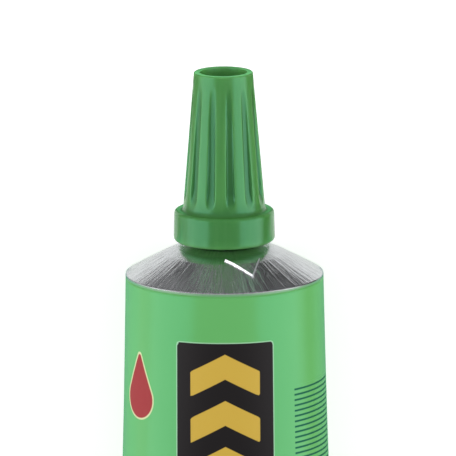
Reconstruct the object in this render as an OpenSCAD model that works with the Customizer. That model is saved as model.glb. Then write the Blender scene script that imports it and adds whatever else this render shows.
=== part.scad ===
// Glue gel tube: a collapsible aluminium tube with a fluted screw cap, lying on its back.
// The tube's axis runs along Y with the cap towards +Y, and the printed front faces up.
// Heights named _h are measured along the axis from the sharp edge of the shoulder towards the cap.

/* [Tube] */
// Outer diameter of the round end of the barrel
tube_d = 25; // [20:0.5:40]
// Length of the barrel from the shoulder edge to the fold
barrel_l = 90; // [60:1:150]
// Wall thickness of the barrel
wall = 0.15; // [0.1:0.05:0.4]
// Share of the flattening that goes evenly from the shoulder to the fold
even_share = 0.27; // [0:0.01:0.6]
// Power of the rest of the flattening, which gathers near the fold
close_power = 3; // [1.5:0.1:4]

/* [Fold] */
// Length of the folded end
fold_l = 5; // [3.5:0.5:9]
// Thickness of the folded end
fold_t = 1.2; // [0.8:0.1:2.4]
// Thickness of the sealing band inside the fold
band_t = 0.36; // [0.2:0.02:0.5]
// How far the sealing band reaches out of the fold into the barrel
band_reach = 1; // [0.5:0.1:2]

/* [Shoulder and neck] */
// Slope of the shoulder, in degrees
shoulder_slope = 31.6; // [24:0.2:40]
// Thickness of the shoulder
shoulder_t = 0.5; // [0.3:0.05:0.8]
// Rounding between the barrel and the shoulder
edge_r = 0.6; // [0.4:0.1:1.2]
// Diameter of the neck over its thread
neck_d = 7.6; // [6:0.1:9.6]
// Length of the neck above the shoulder
neck_l = 4.5; // [3.6:0.1:6]
// Wall of the neck under its thread
neck_wall = 0.8; // [0.5:0.05:1]

/* [Thread] */
// Lead of the thread, one turn
pitch = 1.5; // [1.2:0.1:1.8]
// Depth of the thread
thread_depth = 0.5; // [0.35:0.05:0.6]
// Flank angle of the thread, in degrees
flank = 25; // [15:1:30]
// Room along the axis between the two threads at mid depth
thread_play = 0.15; // [0.1:0.01:0.25]
// Room across the axis between the two threads
thread_gap = 0.12; // [0.08:0.01:0.25]

/* [Nozzle] */
// Length of the spout above its flange
spout_l = 5.5; // [3:0.5:8]
// Diameter of the spout at its tip
tip_d = 2.6; // [2:0.1:3.2]
// Width of the flange's ledge round the spout
ledge_w = 1.08; // [0.5:0.02:1.3]
// Thickness of the flange on the neck
flange_t = 0.8; // [0.5:0.1:1.2]
// Length of the plug inside the neck
plug_l = 3; // [1.5:0.1:3.5]
// Thickness of the nozzle's wall and of its closed tip
nozzle_wall = 0.5; // [0.4:0.05:0.7]

/* [Cap] */
// Height of the cap
cap_l = 21.6; // [18:0.2:32]
// Wall of the cap round the neck
cap_wall = 1.255; // [0.9:0.005:1.8]
// How far the collar stands out from the grip
collar_out = 1.225; // [0.8:0.005:2]
// Height of the collar
collar_l = 4; // [3:0.1:6]
// Narrowing of the collar from its lower edge to its top, on the diameter
collar_draft = 0.2; // [0:0.05:0.6]
// Diameter of the recess in the top
recess_d = 5.4; // [4.2:0.1:6.4]
// Width of the rim round the recess
rim_w = 1; // [0.7:0.05:1.3]
// Gap between the cap and the shoulder when the cap is closed
cap_gap = 0.37; // [0.2:0.01:0.8]
// Thickness of the partition under the recess
partition_t = 1.2; // [0.8:0.1:2]
// Diameter of the piercing pin at its root
pin_d = 1.8; // [1.2:0.1:2.2]
// Diameter of the piercing pin at its tip
pin_tip_d = 0.2; // [0.1:0.05:0.4]
// Distance from the top of the cap down to the pin's tip
pin_below = 1.5; // [0.5:0.1:3]
// Narrowing of the recess from the top to its floor, on the diameter
recess_draft = 0.6; // [0:0.1:0.8]
// Rounding of the collar's upper edge
collar_edge = 0.6; // [0.3:0.05:1]
// Fillet between the collar and the grip
grip_foot = 0.45; // [0.2:0.05:0.6]
// Rounding of the rim round the recess
rim_edge = 0.4; // [0.2:0.05:0.6]

/* [Flutes] */
// Number of flutes around the grip
flutes = 12; // [8:1:14]
// Radius of a flute's round bottom
flute_r = 0.7; // [0.5:0.05:0.8]
// Depth of a flute at its lower end
flute_depth = 0.42; // [0.2:0.02:0.5]
// Distance from the collar's top to the lower end of a flute
flute_rise = 0.9; // [0.7:0.1:2]
// Distance from the top of the cap to the place where a flute runs out
flute_top = 2.5; // [1.5:0.1:5]
// Turn of the first flute about the axis, in degrees
flute_turn = 9.7; // [0:0.1:30]

/* [Liner] */
// Thickness of the sealing disc above the nozzle
liner_t = 0.8; // [0.5:0.1:1.5]
// How far the sealing disc reaches out past the nozzle's tip
liner_over = 0.7; // [0.3:0.05:0.9]

/* [Fits] */
// Gap around pieces that sit fast in another
seat_gap = 0.03; // [0.02:0.01:0.05]
// Gap around pieces that pass each other
free_gap = 0.3; // [0.2:0.05:0.5]
// Gap between the gel and the walls that hold it
gel_gap = 0.1; // [0.05:0.01:0.2]

/* [Hidden] */
$fn = 64;

// Points round a ring of the barrel, rings along it, and steps in one turn of a thread
ring_points = 48;
barrel_rings = 16;
turn_steps = 24;
// Points in a small rounding
arc_steps = 6;

tube_r = tube_d / 2;
slope = tan(shoulder_slope);
// A wall of thickness t on the shoulder's slope is this much longer along the axis
function on_slope(t) = t / cos(shoulder_slope);

// Shoulder and neck along the axis
rim_h = -edge_r * tan((90 - shoulder_slope) / 2);
neck_r = neck_d / 2;
root_r = neck_r - thread_depth;
bore_r = root_r - neck_wall;
neck_h = (tube_r - root_r) * slope;
neck_top_h = neck_h + neck_l;
rim_in_r = tube_r - max(wall, (on_slope(shoulder_t) + rim_h) / slope);

// Nozzle along the axis
flange_top_h = neck_top_h + flange_t;
tip_h = flange_top_h + spout_l;
plug_h = neck_top_h - plug_l;
flange_r = root_r - thread_gap;
spout_r = flange_r - ledge_w;
tip_r = tip_d / 2;

// Cap along the axis
cap_bore_r = neck_r + thread_gap;
cap_crest_r = root_r + thread_gap;
grip_r = cap_bore_r + cap_wall;
collar_r = grip_r + collar_out;
collar_top_r = collar_r - collar_draft / 2;
cap_h = (tube_r - collar_r) * slope + on_slope(cap_gap);
mouth_h = (tube_r - cap_bore_r) * slope + on_slope(cap_gap);
cap_top_h = cap_h + cap_l;
collar_top_h = cap_h + collar_l;
ledge_h = flange_top_h + free_gap;
liner_h = tip_h + seat_gap;
cavity_h = liner_h + liner_t + seat_gap;
recess_h = cavity_h + partition_t;
liner_r = tip_r + liner_over;
cavity_r = liner_r + seat_gap;
cavity_low_r = max(cavity_r, spout_r + free_gap);
recess_r = recess_d / 2;
top_r = recess_r + rim_w;
grip_k = (grip_r - top_r) / (cap_top_h - collar_top_h);
grip_lean = atan(grip_k);
function grip_at(h) = grip_r - (h - collar_top_h) * grip_k;

// Roundings of the cap, held within the faces that they join
collar_round = min(collar_edge, collar_l / 3);
grip_fillet = min(grip_foot, collar_top_r - collar_round - grip_r);
rim_round = min(rim_edge, rim_w * 0.4);

// The flutes end in a low step this far before they would run out
flute_step = 2;

// Thread: width of the ridge at its foot and at its crest, how deep it is sunk, and where it starts
ridge_foot = pitch / 2 - thread_play + thread_depth * tan(flank);
ridge_crest = pitch / 2 - thread_play - thread_depth * tan(flank);
ridge_sink = 0.1;
thread_lead = 0.1;
neck_thread_h = neck_h + ridge_foot / 2 + thread_lead;
neck_turns = (neck_top_h - ridge_foot / 2 - neck_thread_h) / pitch;
cap_thread_h = neck_thread_h + pitch / 2;
cap_turns = neck_turns - 0.5;

// Slot inside the fold that holds the sealing band, closed over the last part of the fold
fold_close = 1;
slot_r = band_t / 2 + seat_gap;
slot_l = fold_l - fold_close;

// Places in the part's own frame
length = fold_l + barrel_l + cap_top_h;
shoulder_y = length / 2 - cap_top_h;
fold_y = shoulder_y - barrel_l;

// Flattening of the barrel from 0 at the shoulder to 1 at the fold, for s from 0 to 1
function closing(s) = even_share * s + (1 - even_share) * pow(s, close_power);
// Half thickness of a section, going from start_r to end_r
function half_t(s, start_r, end_r) = start_r + (end_r - start_r) * closing(s);
// Half length of its straight sides, which keeps the barrel's girth the same all along
function half_w(s) = PI / 2 * (tube_r - half_t(s, tube_r, fold_t / 2));
function barrel_y(s) = shoulder_y + rim_h - s * (barrel_l + rim_h);

// Points of an arc with its centre at c, from angle from to angle to
function arc(c, r, from, to) =
    [for (i = [0 : arc_steps]) let (a = from + (to - from) * i / arc_steps) c + r * [cos(a), sin(a)]];

// A ring across the axis: two half rounds of radius r, parted by straight sides of 2 * w, centred at height z
function ring(y, r, w, z) = [
    for (i = [0 : ring_points - 1])
        let (a = (i + 0.5) * 360 / ring_points, side = a < 180 ? 1 : -1, out_r = r / cos(180 / ring_points))
        [out_r * sin(a) + side * w, y, z + out_r * cos(a)]
];

// A closed solid through rings that have the same number of points, in order along their path
module loft(rings) {
    n = len(rings[0]);
    last = len(rings) - 1;
    sides = [
        for (i = [0 : last - 1], j = [0 : n - 1])
            let (k = (j + 1) % n)
            each [
                [i * n + j, (i + 1) * n + j, i * n + k],
                [i * n + k, (i + 1) * n + j, (i + 1) * n + k]
            ]
    ];
    first_cap = [for (j = [0 : n - 1]) j];
    last_cap = [for (j = [n - 1 : -1 : 0]) last * n + j];
    polyhedron([for (r = rings) each r], concat([first_cap], sides, [last_cap]));
}

// Stands a piece that is drawn upright along the tube's axis
module along_tube() {
    translate([0, shoulder_y, tube_r]) rotate([-90, 0, 0]) children();
}

// A right-hand ridge from radius foot_r to crest_r, sunk a little into what carries it
module ridge(foot_r, crest_r, start_h, turns) {
    steps = ceil(turns * turn_steps);
    sunk_r = foot_r + ridge_sink * sign(foot_r - crest_r);
    profile = [
        [sunk_r, -ridge_foot / 2],
        [sunk_r, ridge_foot / 2],
        [crest_r, ridge_crest / 2],
        [crest_r, -ridge_crest / 2]
    ];
    order = foot_r < crest_r ? [0, 1, 2, 3] : [3, 2, 1, 0];
    loft([
        for (i = [0 : steps])
            let (a = 360 * turns * i / steps, h = start_h + pitch * a / 360)
            [for (j = order) [profile[j][0] * cos(a), profile[j][0] * sin(a), h + profile[j][1]]]
    ]);
}

// Enamelled barrel with its folded end: one skin that goes down outside and back up inside
module barrel() {
    s_up = [for (i = [barrel_rings : -1 : 0]) i / barrel_rings];
    s_down = [for (i = [0 : barrel_rings]) i / barrel_rings];
    color("#61ac5f") loft(concat(
        [ring(fold_y - fold_l, fold_t / 2, half_w(1), fold_t / 2)],
        [for (s = s_up) let (r = half_t(s, tube_r, fold_t / 2)) ring(barrel_y(s), r, half_w(s), r)],
        [
            for (s = s_down)
                let (z = half_t(s, tube_r, fold_t / 2))
                ring(barrel_y(s), half_t(s, tube_r - wall, slot_r), half_w(s), z)
        ],
        [ring(fold_y - slot_l, slot_r, half_w(1), fold_t / 2)]
    ));
}

// Bare aluminium shoulder with the threaded neck
module head() {
    edge = [tube_r - edge_r, rim_h];
    color("#b9bcbd") along_tube() union() {
        rotate_extrude() polygon(concat(
            [[rim_in_r, rim_h]],
            arc(edge, edge_r, 0, 90 - shoulder_slope),
            [
                [root_r, neck_h],
                [root_r, neck_top_h],
                [bore_r, neck_top_h],
                [bore_r, (tube_r - bore_r) * slope - on_slope(shoulder_t)]
            ]
        ));
        ridge(root_r, neck_r, neck_thread_h, neck_turns);
    }
}

// Latex band that seals the fold
module seal_band() {
    band_l = slot_l - seat_gap + band_reach;
    band_w = 2 * (half_w(1) - free_gap);
    color("#d9cda0")
        translate([-band_w / 2, fold_y + band_reach - band_l, (fold_t - band_t) / 2])
            cube([band_w, band_l, band_t]);
}

// The gel fill, from the sealing band up to the nozzle's plug
module glue_gel() {
    gel_end = 1 - (band_reach + free_gap) / barrel_l;
    rim_r = tube_r - max(wall + gel_gap, (on_slope(shoulder_t + gel_gap) + rim_h) / slope);
    neck_gel_r = bore_r - gel_gap;
    cone_h = (tube_r - neck_gel_r) * slope - on_slope(shoulder_t + gel_gap);
    s_up = [for (i = [barrel_rings : -1 : 1]) gel_end * i / barrel_rings];
    color("#e8dcae") loft(concat(
        [
            for (s = s_up)
                let (z = half_t(s, tube_r, fold_t / 2))
                ring(barrel_y(s), half_t(s, tube_r - wall, slot_r) - gel_gap, half_w(s), z)
        ],
        [ring(shoulder_y + rim_h, rim_r, 0, tube_r)],
        [ring(shoulder_y + cone_h, neck_gel_r, 0, tube_r)],
        [ring(shoulder_y + plug_h - gel_gap, neck_gel_r, 0, tube_r)]
    ));
}

// Moulded spout that plugs into the neck, closed at its tip until it is pierced
module nozzle() {
    plug_r = bore_r - seat_gap;
    color("#eef0ea") along_tube() rotate_extrude() polygon([
        [0, tip_h - nozzle_wall],
        [tip_r - nozzle_wall, tip_h - nozzle_wall],
        [spout_r - nozzle_wall, flange_top_h],
        [spout_r - nozzle_wall, plug_h],
        [plug_r, plug_h],
        [plug_r, neck_top_h],
        [flange_r, neck_top_h],
        [flange_r, flange_top_h],
        [spout_r, flange_top_h],
        [tip_r, tip_h],
        [0, tip_h]
    ]);
}

// A round-nosed cutter that leans with the grip and runs out near the top
module flute_cutter() {
    low_h = collar_top_h + flute_rise;
    run_out_h = cap_top_h - flute_top;
    low_r = grip_at(low_h) - flute_depth;
    lean = atan((low_r - grip_at(run_out_h)) / (run_out_h - low_h));
    cutter_l = run_out_h - flute_step - low_h;
    nose = [for (p = arc([0, 0], 1, -90, 0)) [p[0] * flute_r, (p[1] + 1) * 2 * flute_r]];
    translate([low_r + flute_r, 0, low_h])
        rotate([0, -lean, 0])
            rotate_extrude() polygon(concat(nose, [[flute_r, cutter_l], [0, cutter_l]]));
}

// Solid outline of the cap with its collar, bore, cavity and top recess with the piercing pin
module cap_body() {
    fillet_h = collar_top_h + grip_fillet;
    fillet_c = [grip_at(fillet_h) + grip_fillet / cos(grip_lean), fillet_h];
    round_c = [collar_top_r - collar_round, collar_top_h - collar_round];
    recess_floor_r = recess_r - recess_draft / 2;
    pin_tip_h = cap_top_h - pin_below;
    rotate_extrude() polygon(concat(
        [[collar_r, cap_h]],
        arc(round_c, collar_round, 0, 90),
        arc(fillet_c, grip_fillet, 270, 180 + grip_lean),
        arc([top_r - rim_round, cap_top_h - rim_round], rim_round, 0, 90),
        arc([recess_r + rim_round, cap_top_h - rim_round], rim_round, 90, 180),
        [
            [recess_floor_r, recess_h],
            [pin_d / 2, recess_h],
            [pin_tip_d / 2, pin_tip_h],
            [0, pin_tip_h],
            [0, cavity_h],
            [cavity_r, cavity_h],
            [cavity_low_r, ledge_h],
            [cap_bore_r, ledge_h],
            [cap_bore_r, mouth_h]
        ]
    ));
}

// Moulded screw cap
module cap() {
    color("#447d46") along_tube() union() {
        difference() {
            cap_body();
            for (i = [0 : flutes - 1])
                rotate([0, 0, flute_turn + i * 360 / flutes]) flute_cutter();
        }
        ridge(cap_bore_r, cap_crest_r, cap_thread_h, cap_turns);
    }
}

// Sealing disc between the nozzle's tip and the cap's partition
module cap_liner() {
    color("#f4f1e6") along_tube() translate([0, 0, liner_h]) cylinder(h = liner_t, r = liner_r);
}

barrel();
head();
seal_band();
glue_gel();
nozzle();
cap();
cap_liner();
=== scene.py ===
# %% [markdown]
# # A tube of glue gel, lying on its back
# The object is a collapsible aluminium tube: a green enamelled barrel that is round at the shoulder and
# folded flat at its end, a bare conical shoulder with a threaded neck, and a green fluted screw cap.
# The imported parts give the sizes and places. This script gives every piece its visible surface, its
# finish, the light and the camera.

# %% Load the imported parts
import math

import bpy
import numpy as np
from mathutils import Matrix, Vector


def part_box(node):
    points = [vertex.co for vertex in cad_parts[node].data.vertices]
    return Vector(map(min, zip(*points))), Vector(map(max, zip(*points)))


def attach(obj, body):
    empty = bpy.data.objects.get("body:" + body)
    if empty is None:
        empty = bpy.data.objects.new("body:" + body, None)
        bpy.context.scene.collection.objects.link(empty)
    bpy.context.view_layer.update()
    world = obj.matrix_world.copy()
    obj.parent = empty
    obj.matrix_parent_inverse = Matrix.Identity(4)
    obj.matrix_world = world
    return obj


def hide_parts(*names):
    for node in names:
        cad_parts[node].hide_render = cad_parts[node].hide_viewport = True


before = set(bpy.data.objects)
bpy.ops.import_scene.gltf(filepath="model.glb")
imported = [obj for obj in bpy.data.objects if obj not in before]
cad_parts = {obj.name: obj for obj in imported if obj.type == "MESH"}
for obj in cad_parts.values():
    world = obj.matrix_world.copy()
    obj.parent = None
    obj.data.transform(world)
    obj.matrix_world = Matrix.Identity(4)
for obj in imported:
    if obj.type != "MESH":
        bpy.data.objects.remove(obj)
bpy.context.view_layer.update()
print("packed parts:", sorted(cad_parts))

# %% [markdown]
# ## Sizes
# All shapes below are worked out in millimetres along the tube's own axis, and turned into metres at the
# end. A height is measured from the sharp edge of the shoulder towards the cap. What the boxes of the
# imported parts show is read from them, and the rest are the real sizes of the construction.

# %% Sizes from the parts, in millimetres
MM = 0.001


def box_mm(node):
    """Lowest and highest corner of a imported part, in millimetres."""
    low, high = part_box(node)
    return np.array(low) / MM, np.array(high) / MM


head_low, head_high = box_mm("head")
barrel_low, barrel_high = box_mm("barrel")
cap_low, cap_high = box_mm("cap")
spout_low, spout_high = box_mm("nozzle")
disc_low, disc_high = box_mm("cap_liner")

TUBE_R = (head_high[0] - head_low[0]) / 2
AXIS_Z = (head_high[2] + head_low[2]) / 2
SHOULDER_SLOPE = math.radians(31.6)
SHOULDER_EDGE_R = 0.6
RIM_H = -SHOULDER_EDGE_R * math.tan((math.pi / 2 - SHOULDER_SLOPE) / 2)
SHOULDER_Y = head_low[1] - RIM_H
WALL = 0.15

THREAD_PITCH = 1.5
THREAD_DEPTH = 0.5
THREAD_GAP = 0.12
NECK_R = 3.8
NECK_ROOT_R = NECK_R - THREAD_DEPTH
NECK_BORE_R = 2.5
NECK_H = (TUBE_R - NECK_ROOT_R) * math.tan(SHOULDER_SLOPE)
NECK_TOP_H = head_high[1] - SHOULDER_Y
print(f"tube radius {TUBE_R:.2f} mm, shoulder edge at y {SHOULDER_Y:.2f} mm, neck top {NECK_TOP_H:.2f} mm")

# %% [markdown]
# ## From formulas to meshes
# Nearly every piece here is round, so it could be made with Spin or Screw. A grid of points that numpy
# works out in one go is easier to shape: the rings can swell, dent or carry a thread by adding a number
# to the radius. One function turns such rings into a closed mesh, with a UV map in millimetres so that a
# finish can follow the surface.


# %% Rings round the axis, and a closed skin through them
def round_axis(radius, height, angle):
    """Points at a radius and a height, turned by an angle from the front: across is radius times the
    angle's sine, upwards is radius times its cosine, and along the tube is the height."""
    across, upwards, along = np.broadcast_arrays(radius * np.sin(angle), radius * np.cos(angle), height)
    return np.stack([across, SHOULDER_Y + along, AXIS_Z + upwards], axis=-1)


def in_scene(name, data):
    """A new object at the origin that shows a mesh, a lamp or a lens."""
    thing = bpy.data.objects.new(name, data)
    bpy.context.scene.collection.objects.link(thing)
    return thing


def skin(name, rings, u, v, poles=False, fields=None):
    """A closed mesh through rings of points in millimetres. Neighbours in a ring and in the next ring
    are joined by four-sided faces. With poles the first and the last ring are single points, else the
    last ring is joined to the first. u and v are millimetres round and along the surface, and fields
    are further numbers kept at every point."""
    rows, columns = rings.shape[:2]
    points = rings.reshape(-1, 3)
    u, v = np.broadcast_to(u, (rows, columns)), np.broadcast_to(v, (rows, columns))
    row, column = np.meshgrid(np.arange(rows - 1 if poles else rows), np.arange(columns), indexing="ij")
    corner_rows = np.stack([row, row, row + 1, row + 1], axis=-1).reshape(-1, 4)
    corner_columns = np.stack([column, column + 1, column + 1, column], axis=-1).reshape(-1, 4)
    index = np.arange(rows * columns).reshape(rows, columns)
    if poles:
        index[0], index[-1] = index[0, 0], index[-1, 0]
    faces = index[corner_rows % rows, corner_columns % columns]

    # each face and the origin hold a part of the volume, and the sum is negative if the faces look inwards
    a, b, c, d = (points[faces[:, i]] for i in range(4))
    volume = np.einsum("ij,ij->i", a, np.cross(b, c) + np.cross(c, d)).sum() / 6
    if volume < 0:
        faces, corner_rows, corner_columns = faces[:, ::-1], corner_rows[:, ::-1], corner_columns[:, ::-1]

    u_wide = np.hstack([u, 2 * u[:, -1:] - u[:, -2:-1]])
    v_wide = np.hstack([v, v[:, :1]])
    uv = np.stack([u_wide, v_wide], axis=-1)[corner_rows % rows, corner_columns]

    # at a pole two corners of a face fall together, and one of them is left out
    used, packed = np.unique(faces, return_inverse=True)
    faces = packed.reshape(faces.shape)
    distinct = (faces != np.roll(faces, 1, axis=1))
    sides = distinct.sum(axis=1)
    starts = np.concatenate([[0], np.cumsum(sides)[:-1]])

    mesh = bpy.data.meshes.new(name)
    mesh.vertices.add(len(used))
    mesh.vertices.foreach_set("co", (points[used] * MM).astype(np.float32).ravel())
    mesh.loops.add(int(sides.sum()))
    mesh.loops.foreach_set("vertex_index", faces[distinct].astype(np.int32))
    mesh.polygons.add(len(faces))
    mesh.polygons.foreach_set("loop_start", starts.astype(np.int32))
    mesh.update(calc_edges=True)
    mesh.validate()
    mesh.shade_smooth()
    mesh.uv_layers.new(name="unrolled").data.foreach_set("uv", uv[distinct].astype(np.float32).ravel())
    for key, values in (fields or {}).items():
        attribute = mesh.attributes.new(key, "FLOAT", "POINT")
        attribute.data.foreach_set("value", values.reshape(-1)[used].astype(np.float32))
    print(f"{name}: {len(faces)} faces, volume {abs(volume):.0f} mm3")
    return in_scene(name, mesh)


# %% Profiles with rounded corners
ARC_POINTS = 9


def corner_arc(before, corner, after, rounding):
    """The arc that touches both edges at a corner: its ends lie rounding times the tangent of half the
    turn from the corner, and its points go evenly in angle from one end to the other."""
    come = (corner - before) / np.linalg.norm(corner - before)
    leave = (after - corner) / np.linalg.norm(after - corner)
    turn = math.acos(np.clip(come @ leave, -1, 1))
    reach = rounding * math.tan(turn / 2)
    start, end = corner - come * reach, corner + leave * reach
    inwards = (leave - come) / np.linalg.norm(leave - come)
    centre = corner + inwards * rounding / math.cos(turn / 2)
    share = np.linspace(0, 1, ARC_POINTS)[:, None]
    swing = np.sin((1 - share) * turn) * (start - centre) + np.sin(share * turn) * (end - centre)
    return centre + swing / math.sin(turn)


def rounded_profile(corners):
    """A smooth line through corners given as radius, height, rounding and the spacing of points on the
    straight run that follows. Returns the points and, for each, the number of its run, or -1 on an arc."""
    spots = np.array([corner[:2] for corner in corners], float)
    lines, runs = [spots[:1]], [np.array([0])]
    here = spots[0]
    for i in range(1, len(spots)):
        last = i == len(spots) - 1
        arc = spots[i:] if last else corner_arc(spots[i - 1], spots[i], spots[i + 1], corners[i][2])
        count = max(1, math.ceil(np.linalg.norm(arc[0] - here) / corners[i - 1][3]))
        lines += [here + (arc[0] - here) * np.linspace(0, 1, count + 1)[1:, None], arc[1:]]
        runs += [np.full(count, i - 1), np.full(len(arc) - 1, -1)]
        here = arc[-1]
    return np.vstack(lines), np.concatenate(runs)


def along(profile):
    """Distance along a profile from its first point, in millimetres, as a column."""
    steps = np.linalg.norm(np.diff(profile, axis=0), axis=1)
    return np.concatenate([[0], np.cumsum(steps)])[:, None]


def angles(count):
    """Even angles round the axis, starting at the back so that the seam lies underneath, as a row."""
    return np.linspace(-math.pi, math.pi, count, endpoint=False)[None, :]


def smooth_step(x):
    """0 below 0, 1 above 1, and 3x2 - 2x3 between."""
    x = np.clip(x, 0, 1)
    return x * x * (3 - 2 * x)


def between(ends, share):
    """The value at a share of the way from the first of two ends to the second."""
    return ends[0] + (ends[1] - ends[0]) * share


# %% [markdown]
# ## Finishes
# A finish is a small node tree. One function adds a node, sets its properties and fills its inputs, so
# that a tree reads from top to bottom. Colours are written as sRGB hex values, as a paint chart gives
# them, and turned into the linear values that shaders work in.

# %% Colours and nodes
NOISE_SPAN = {1: 0.3, 2: 0.7}  # noise seldom goes beyond these, so a map range starts and ends there


def to_linear(hex_colour):
    """The linear RGBA of an sRGB hex colour."""
    srgb = np.array([int(hex_colour[i:i + 2], 16) for i in (0, 2, 4)]) / 255
    linear = np.where(srgb <= 0.04045, srgb / 12.92, ((srgb + 0.055) / 1.055) ** 2.4)
    return (*linear.tolist(), 1.0)


def fill(tree, node, inputs):
    """Fills a node's inputs: a socket is linked, and any other value is set."""
    for key, value in inputs.items():
        if isinstance(value, bpy.types.NodeSocket):
            tree.links.new(value, node.inputs[key])
        else:
            node.inputs[key].default_value = value


def add(tree, kind, inputs=None, out=0, **settings):
    """Adds a shader node with its inputs and settings, and returns one of its outputs."""
    node = tree.nodes.new("ShaderNode" + kind)
    for key, value in settings.items():
        setattr(node, key, value)
    fill(tree, node, inputs or {})
    return node.outputs[out]


def new_finish(name, **constants):
    """A material with one principled shader whose constant inputs are set directly."""
    material = bpy.data.materials.new(name)
    material.use_nodes = True
    tree = material.node_tree
    shader = tree.nodes["Principled BSDF"]
    fill(tree, shader, {key.replace("_", " "): value for key, value in constants.items()})
    return material, tree, shader


def dress(piece, material, body, slot, *nodes):
    """Gives a piece its finish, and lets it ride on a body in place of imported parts."""
    piece.data.materials.clear()
    piece.data.materials.append(material)
    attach(piece, body)
    if nodes:
        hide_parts(*nodes)


# %% [markdown]
# ## The print on the barrel
# Tubes are printed flat round the barrel before they are filled. The design here is a plain one: a
# charcoal field with yellow chevrons that point to the nozzle, a red drop, and a block of fine rules.
# It could be painted as an image. Signed distances are lighter and stay sharp at any zoom: each motif
# is a number that is negative inside its outline, kept at the mesh points, and the finish cuts it at zero.

# %% Motifs as signed distances
FIELD_U = (-6.2, 6.2)
FIELD_V = (6.15, 58.0)
FIELD_CORNER = 0.35
CHEVRON_HALF = 4.4
CHEVRON_LEAN = math.radians(28)
CHEVRON_STROKE = 2.9
CHEVRON_STEP = 6.1
CHEVRON_COUNT = 8
CHEVRON_V = 9.2
DROP_U, DROP_V = -12.6, 14.5
DROP_R = 2.6
DROP_TIP_R = 0.25
DROP_LENGTH = 5.6
RULES_U = (9.4, 18.2)
RULES_V = (12.4, 46.0)
MARK_U = (-2.5, 2.5)
MARK_V = (84.0, 89.6)


def box_distance(u, v, u_span, v_span):
    """Distance to a rectangle with round corners: that to the rectangle shrunk by the corner radius,
    less the radius."""
    out_u = np.abs(u - sum(u_span) / 2) - (u_span[1] - u_span[0]) / 2 + FIELD_CORNER
    out_v = np.abs(v - sum(v_span) / 2) - (v_span[1] - v_span[0]) / 2 + FIELD_CORNER
    outside = np.hypot(np.maximum(out_u, 0), np.maximum(out_v, 0))
    return outside + np.minimum(np.maximum(out_u, out_v), 0) - FIELD_CORNER


def chevron_distance(u, v):
    """Distance to a row of chevrons: folded on their middle line they are slanting bars, a step apart."""
    side = np.abs(u - sum(FIELD_U) / 2)
    down = v - CHEVRON_V - side * math.tan(CHEVRON_LEAN)
    number = np.clip(np.round(down / CHEVRON_STEP), 0, CHEVRON_COUNT - 1)
    bar = np.abs(down - number * CHEVRON_STEP) * math.cos(CHEVRON_LEAN) - CHEVRON_STROKE / 2
    return np.maximum(bar, side - CHEVRON_HALF)


def drop_distance(u, v):
    """Distance to a drop: a round belly and a small round tip, with straight flanks that touch both."""
    x, y = np.abs(u - DROP_U), DROP_V - v
    lean = (DROP_R - DROP_TIP_R) / DROP_LENGTH
    upright = math.sqrt(1 - lean * lean)
    height = y * upright - x * lean
    belly = np.hypot(x, y) - DROP_R
    tip = np.hypot(x, y - DROP_LENGTH) - DROP_TIP_R
    flank = x * upright + y * lean - DROP_R
    return np.select([height < 0, height > upright * DROP_LENGTH], [belly, tip], flank)


def print_distances(u, v):
    """The printed motifs at unrolled places of the barrel."""
    field, mark = box_distance(u, v, FIELD_U, FIELD_V), box_distance(u, v, MARK_U, MARK_V)
    return {
        "charcoal_mm": np.minimum(field, mark),
        "yellow_mm": chevron_distance(u, v),
        "red_mm": drop_distance(u, v),
        "rules_mm": box_distance(u, v, RULES_U, RULES_V),
    }


# %% [markdown]
# ## The barrel
# A metal tube is closed by pressing its open end flat. The sheet can't stretch, so each section keeps its
# girth: two half rounds, parted by straight sides that grow as the section gets thinner. The skin runs
# down the outside, round the pressed end and back up the inside. Soft aluminium is never quite even, so
# low waves are added, which grow towards the fold.

# %% Barrel surface
BARREL_L = 90.0
FOLD_Y = SHOULDER_Y - BARREL_L
FOLD_L = FOLD_Y - barrel_low[1]
SHEET_T = 0.36
INNER_GAP = 0.02
UNPRINTED_V = -5.0
EVEN_SHARE = 0.27
CLOSE_POWER = 3
BARREL_COLUMNS = 240
BARREL_ROWS = 190
INSIDE_ROWS = 24
WAVE_SEED = 4
WAVE_COUNT = 9
WAVE_HEIGHT = 0.2
WAVE_END = 0.75


def barrel_rings(share, inset):
    """Points of the barrel from the shoulder, share 0, to the fold, share 1. Part of the flattening goes
    evenly and the rest with a power of the way. u runs round the girth from the front: up to the straight
    half length it is on the front, then on the half round of the section's thickness, then on the back,
    which lies flat. inset moves the points inwards."""
    u = TUBE_R * angles(BARREL_COLUMNS)
    share = share[:, None]
    closing = EVEN_SHARE * share + (1 - EVEN_SHARE) * share**CLOSE_POWER
    half_t = between((TUBE_R, SHEET_T / 2), closing)
    straight = math.pi / 2 * (TUBE_R - half_t)
    turn = np.clip((np.abs(u) - straight) / half_t, 0, math.pi)
    flat = np.where(np.abs(u) < straight, np.abs(u), np.clip(math.pi * TUBE_R - np.abs(u), 0, straight))
    x = np.sign(u) * (flat + (half_t - inset) * np.sin(turn))
    z = half_t + (half_t - inset) * np.cos(turn)
    y = SHOULDER_Y + RIM_H - share * (BARREL_L + RIM_H)
    return np.stack(np.broadcast_arrays(x, y, z), axis=-1), np.broadcast_to(u, x.shape), turn


def soft_waves(share, u):
    """Unevenness of the sheet: cosines of whole numbers of waves round the girth, with seeded phases, that
    grow with the square of the way to the fold and end before it."""
    draw = np.random.default_rng(WAVE_SEED)
    waves = np.zeros_like(u)
    for _ in range(WAVE_COUNT):
        around, lengthwise = draw.integers(2, 7), draw.uniform(2, 9)
        phase_u, phase_v = draw.uniform(0, 2 * math.pi, 2)
        waves += np.cos(around * u / TUBE_R + phase_u) * np.cos(lengthwise * share + phase_v)
    fade = 1 - smooth_step((share - WAVE_END) / (1 - WAVE_END))
    return waves * WAVE_HEIGHT / math.sqrt(WAVE_COUNT) * share**2 * fade


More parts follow.
